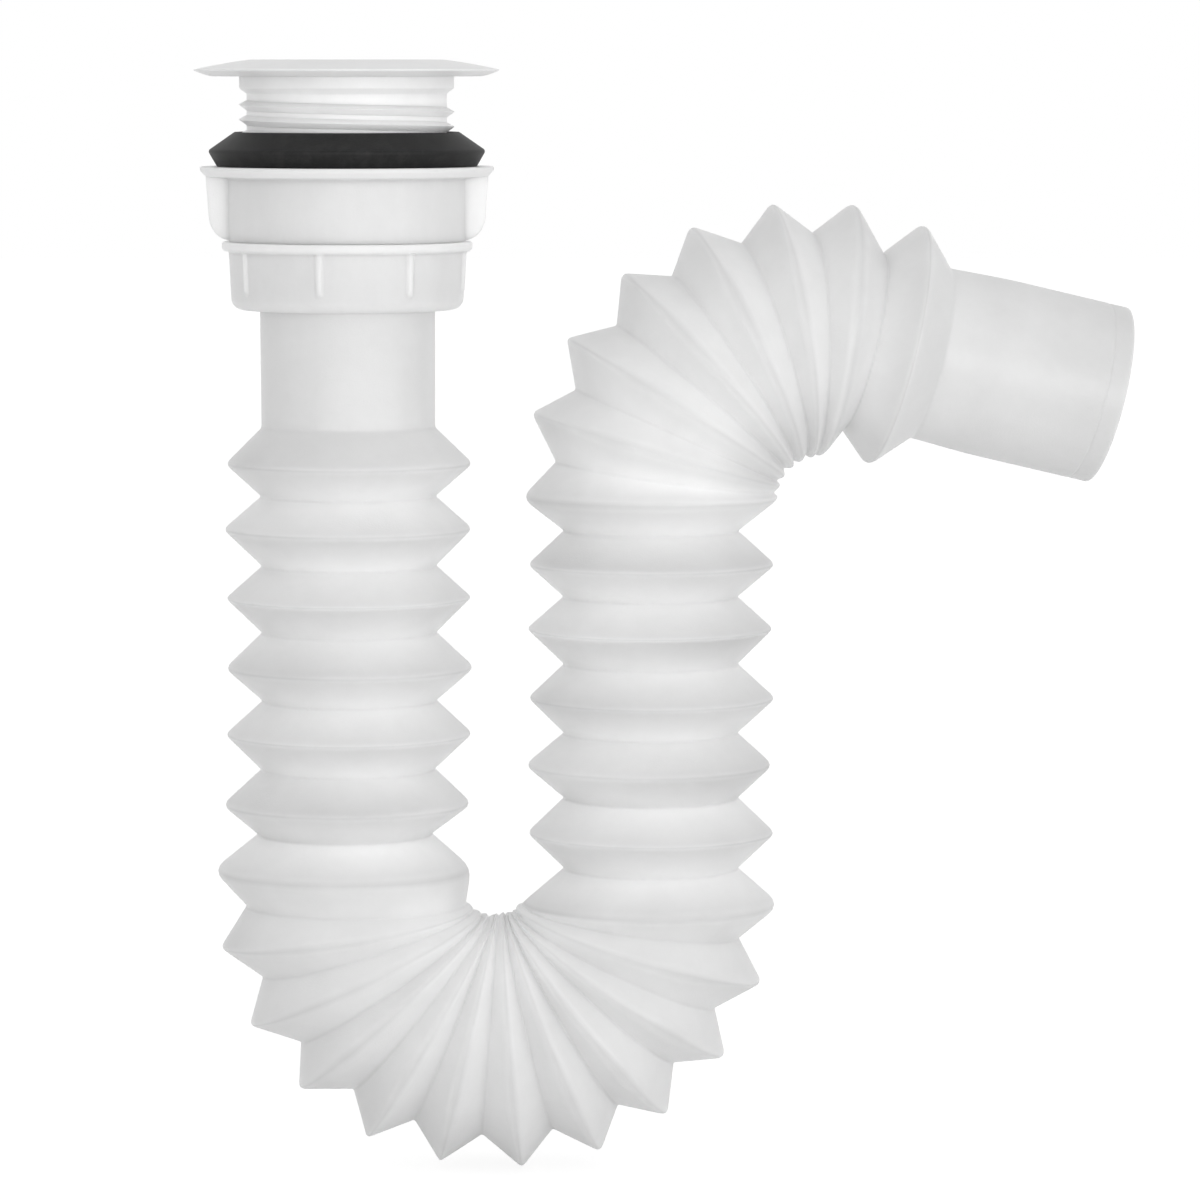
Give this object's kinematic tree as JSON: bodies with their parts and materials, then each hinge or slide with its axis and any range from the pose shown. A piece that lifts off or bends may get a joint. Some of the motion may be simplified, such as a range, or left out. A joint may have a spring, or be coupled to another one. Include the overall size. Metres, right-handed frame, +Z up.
{
  "type": "flexible trap",
  "caption": "White plastic sink waste with a flanged threaded neck, clamping washer, winged back nut and union nut, on a bellows hose bent into a U-shaped water seal with a plain side outlet.",
  "frame": {"origin": "on the waste's axis, in the flat seat under the flange that rests on the sink", "axes": "+Z up along the waste's axis, +X towards the riser and the outlet, -Y towards the picture's viewer"},
  "size_m": [0.2083, 0.0675, 0.2471],
  "materials": {
    "moulded_plastic": "satin",
    "hose_plastic": "satin",
    "black_rubber": "matte"
  },
  "bodies": {
    "waste": {"waste_body": "moulded_plastic"},
    "clamp_washer": {"mounting_washer": "black_rubber"},
    "wing_nut": {"back_nut": "moulded_plastic"},
    "seal": {"seal_washer": "black_rubber"},
    "coupling_nut": {"union_nut": "moulded_plastic"},
    "hose": {"bellows_hose": "hose_plastic"}
  },
  "joints": [
    {"name": "washer_lift", "type": "slide", "parent": "waste", "child": "clamp_washer", "axis": [0, 0, 1], "range_m": [0, 0.0121]},
    {"name": "back_nut_turn", "type": "hinge", "parent": "clamp_washer", "child": "wing_nut", "pos_m": [0, 0, -0.028], "axis": [0, 0, 1], "range_deg": [0, 1332.5]},
    {"name": "seal_drop", "type": "slide", "parent": "waste", "child": "seal", "axis": [0, 0, -1], "range_m": [0, 0.009]},
    {"name": "union_nut_turn", "type": "hinge", "parent": "seal", "child": "coupling_nut", "pos_m": [0, 0, -0.044], "axis": [0, 0, -1], "range_deg": [0, 992]},
    {"name": "hose_swivel", "type": "hinge", "parent": "seal", "child": "hose", "pos_m": [0, 0, -0.049], "axis": [0, 0, 1], "continuous": true}
  ],
  "couplings": [
    {"joint": "back_nut_turn", "follows": "washer_lift", "rad_per_m": 1921.3},
    {"joint": "union_nut_turn", "follows": "seal_drop", "rad_per_m": 1921.3}
  ]
}
